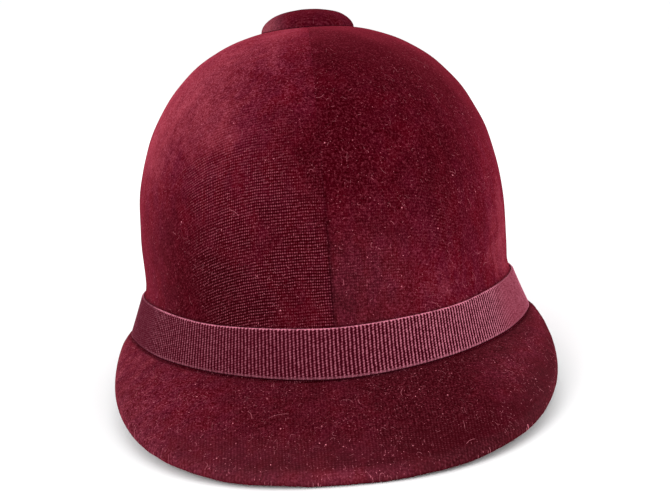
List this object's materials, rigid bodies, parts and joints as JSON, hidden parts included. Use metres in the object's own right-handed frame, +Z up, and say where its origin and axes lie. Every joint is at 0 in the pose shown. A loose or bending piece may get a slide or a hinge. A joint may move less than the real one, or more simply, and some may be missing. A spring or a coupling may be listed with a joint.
{
  "type": "riding helmet",
  "caption": "Velvet-covered riding helmet of hunt-cap form: hard open shell, velvet quarters, wide sloping peak, ribbon band and cushion button on top.",
  "frame": {"origin": "on the surface that the helmet stands on, under the middle of its outline", "axes": "+Z up, -Y towards the peak, +X to the wearer's left; the helmet leans back about 5 degrees, on its rim at the back and the tip of its peak"},
  "size_m": [0.2172, 0.295, 0.1818],
  "materials": {
    "shell": "dark matt inner face of the hard shell",
    "velvet": "burgundy cotton velvet with fine woven rows",
    "peak_velvet": "burgundy velvet over a stiff board",
    "grosgrain": "mauve-burgundy grosgrain with upright ribs",
    "button_velvet": "burgundy velvet over a flat cushion button"
  },
  "bodies": {
    "root": {"crown_shell": "shell", "cover_front_left": "velvet", "cover_front_right": "velvet", "cover_back_left": "velvet", "cover_back_right": "velvet", "peak": "peak_velvet", "ribbon_band": "grosgrain", "top_button": "button_velvet"}
  },
  "joints": []
}
